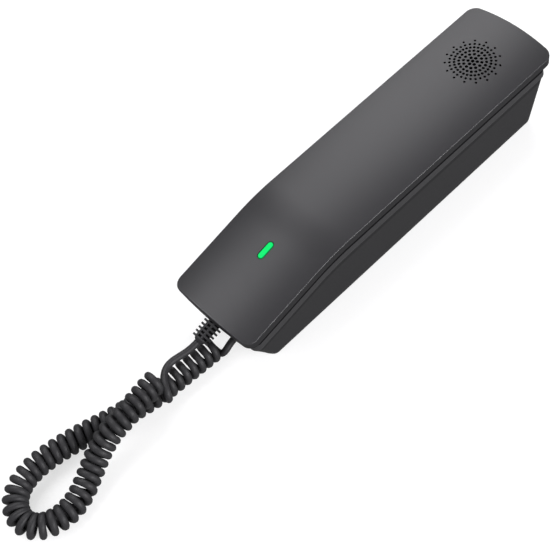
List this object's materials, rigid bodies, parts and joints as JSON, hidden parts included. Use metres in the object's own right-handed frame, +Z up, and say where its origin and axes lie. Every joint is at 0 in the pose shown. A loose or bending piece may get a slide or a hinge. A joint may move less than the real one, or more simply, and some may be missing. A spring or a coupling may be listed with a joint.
{
  "type": "desk ip phone",
  "caption": "Slim corded network phone: a kneed handset with dial keys inside lies flush in a tray-shaped base and is tied to it by a curly cord.",
  "frame": {"origin": "on the table under the middle of the phone, without its cord", "axes": "+X along the phone towards the earpiece end, +Y across, +Z up out of the handset's crowned face"},
  "size_m": [0.3398, 0.052, 0.0428],
  "materials": {
    "shell_plastic": "fine satin texture, dark grey ABS",
    "key_plastic": "satin, slightly lighter grey",
    "socket_plastic": "black PBT",
    "chip_plastic": "black epoxy",
    "circuit_board": "solder mask green",
    "bright_steel": "zinc-plated",
    "plain_steel": "dull",
    "foot_rubber": "matte",
    "membrane_rubber": "matte translucent grey silicone",
    "cone_film": "moulded film",
    "grille_cloth": "fine black cloth",
    "foam": "open-cell foam",
    "lamp_green": "lit diffusing lens",
    "cord_jacket": "satin TPU jacket",
    "clear_plastic": "smoked polycarbonate"
  },
  "bodies": {
    "base": {"base_top_cover": "shell_plastic", "base_bottom_cover": "shell_plastic", "main_board": "circuit_board", "network_processor": "chip_plastic", "network_transformer": "chip_plastic", "memory_chip": "chip_plastic", "network_jack": "socket_plastic", "power_jack": "socket_plastic", "handset_cord_jack": "socket_plastic", "hook_spring": "bright_steel", "hook_switch": "socket_plastic", "base_weight": "plain_steel", "rubber_feet": "foot_rubber", "base_screws": "bright_steel", "cord_coil": "cord_jacket", "cord_base_lead": "cord_jacket", "cord_handset_lead": "cord_jacket", "cord_plug": "clear_plastic"},
    "handset": {"handset_outer_shell": "shell_plastic", "handset_inner_shell": "shell_plastic", "keypad_membrane": "membrane_rubber", "handset_board": "circuit_board", "audio_chip": "chip_plastic", "board_connector": "socket_plastic", "speaker_magnet": "plain_steel", "speaker_frame": "socket_plastic", "speaker_cone": "cone_film", "grille_cloth": "grille_cloth", "earpiece_gasket": "foam", "earpiece_capsule": "bright_steel", "microphone_boot": "foot_rubber", "microphone_capsule": "bright_steel", "indicator_lens": "lamp_green", "indicator_board": "circuit_board", "indicator_led": "lamp_green", "handset_weight": "plain_steel", "handset_screws": "bright_steel", "handset_neck": "cord_jacket"},
    "hook": {"hook_plunger": "key_plastic"},
    "dial_key_1": {"key_1": "key_plastic"},
    "dial_key_2": {"key_2": "key_plastic"},
    "dial_key_3": {"key_3": "key_plastic"},
    "dial_key_4": {"key_4": "key_plastic"},
    "dial_key_5": {"key_5": "key_plastic"},
    "dial_key_6": {"key_6": "key_plastic"},
    "dial_key_7": {"key_7": "key_plastic"},
    "dial_key_8": {"key_8": "key_plastic"},
    "dial_key_9": {"key_9": "key_plastic"},
    "dial_key_star": {"key_star": "key_plastic"},
    "dial_key_0": {"key_0": "key_plastic"},
    "dial_key_hash": {"key_hash": "key_plastic"},
    "dial_key_volume_up": {"key_volume_up": "key_plastic"},
    "dial_key_volume_down": {"key_volume_down": "key_plastic"},
    "dial_key_hold": {"key_hold": "key_plastic"},
    "dial_key_redial": {"key_redial": "key_plastic"}
  },
  "joints": [
    {"name": "handset_lift", "type": "slide", "parent": "base", "child": "handset", "axis": [0, 0, 1], "range_m": [0, 0.03]},
    {"name": "hook_slide", "type": "slide", "parent": "base", "child": "hook", "axis": [0, 0, 1], "range_m": [0, 0.003]},
    {"name": "press_1", "type": "slide", "parent": "handset", "child": "dial_key_1", "axis": [0, 0, 1], "range_m": [0, 0.0008], "stiffness_N_per_m": 250},
    {"name": "press_2", "type": "slide", "parent": "handset", "child": "dial_key_2", "axis": [0, 0, 1], "range_m": [0, 0.0008], "stiffness_N_per_m": 250},
    {"name": "press_3", "type": "slide", "parent": "handset", "child": "dial_key_3", "axis": [0, 0, 1], "range_m": [0, 0.0008], "stiffness_N_per_m": 250},
    {"name": "press_4", "type": "slide", "parent": "handset", "child": "dial_key_4", "axis": [0, 0, 1], "range_m": [0, 0.0008], "stiffness_N_per_m": 250},
    {"name": "press_5", "type": "slide", "parent": "handset", "child": "dial_key_5", "axis": [0, 0, 1], "range_m": [0, 0.0008], "stiffness_N_per_m": 250},
    {"name": "press_6", "type": "slide", "parent": "handset", "child": "dial_key_6", "axis": [0, 0, 1], "range_m": [0, 0.0008], "stiffness_N_per_m": 250},
    {"name": "press_7", "type": "slide", "parent": "handset", "child": "dial_key_7", "axis": [0, 0, 1], "range_m": [0, 0.0008], "stiffness_N_per_m": 250},
    {"name": "press_8", "type": "slide", "parent": "handset", "child": "dial_key_8", "axis": [0, 0, 1], "range_m": [0, 0.0008], "stiffness_N_per_m": 250},
    {"name": "press_9", "type": "slide", "parent": "handset", "child": "dial_key_9", "axis": [0, 0, 1], "range_m": [0, 0.0008], "stiffness_N_per_m": 250},
    {"name": "press_star", "type": "slide", "parent": "handset", "child": "dial_key_star", "axis": [0, 0, 1], "range_m": [0, 0.0008], "stiffness_N_per_m": 250},
    {"name": "press_0", "type": "slide", "parent": "handset", "child": "dial_key_0", "axis": [0, 0, 1], "range_m": [0, 0.0008], "stiffness_N_per_m": 250},
    {"name": "press_hash", "type": "slide", "parent": "handset", "child": "dial_key_hash", "axis": [0, 0, 1], "range_m": [0, 0.0008], "stiffness_N_per_m": 250},
    {"name": "press_volume_up", "type": "slide", "parent": "handset", "child": "dial_key_volume_up", "axis": [0, 0, 1], "range_m": [0, 0.0008], "stiffness_N_per_m": 250},
    {"name": "press_volume_down", "type": "slide", "parent": "handset", "child": "dial_key_volume_down", "axis": [0, 0, 1], "range_m": [0, 0.0008], "stiffness_N_per_m": 250},
    {"name": "press_hold", "type": "slide", "parent": "handset", "child": "dial_key_hold", "axis": [0, 0, 1], "range_m": [0, 0.0008], "stiffness_N_per_m": 250},
    {"name": "press_redial", "type": "slide", "parent": "handset", "child": "dial_key_redial", "axis": [0, 0, 1], "range_m": [0, 0.0008], "stiffness_N_per_m": 250}
  ],
  "couplings": [
    {"joint": "hook_slide", "follows": "handset_lift", "ratio": 0.1}
  ]
}
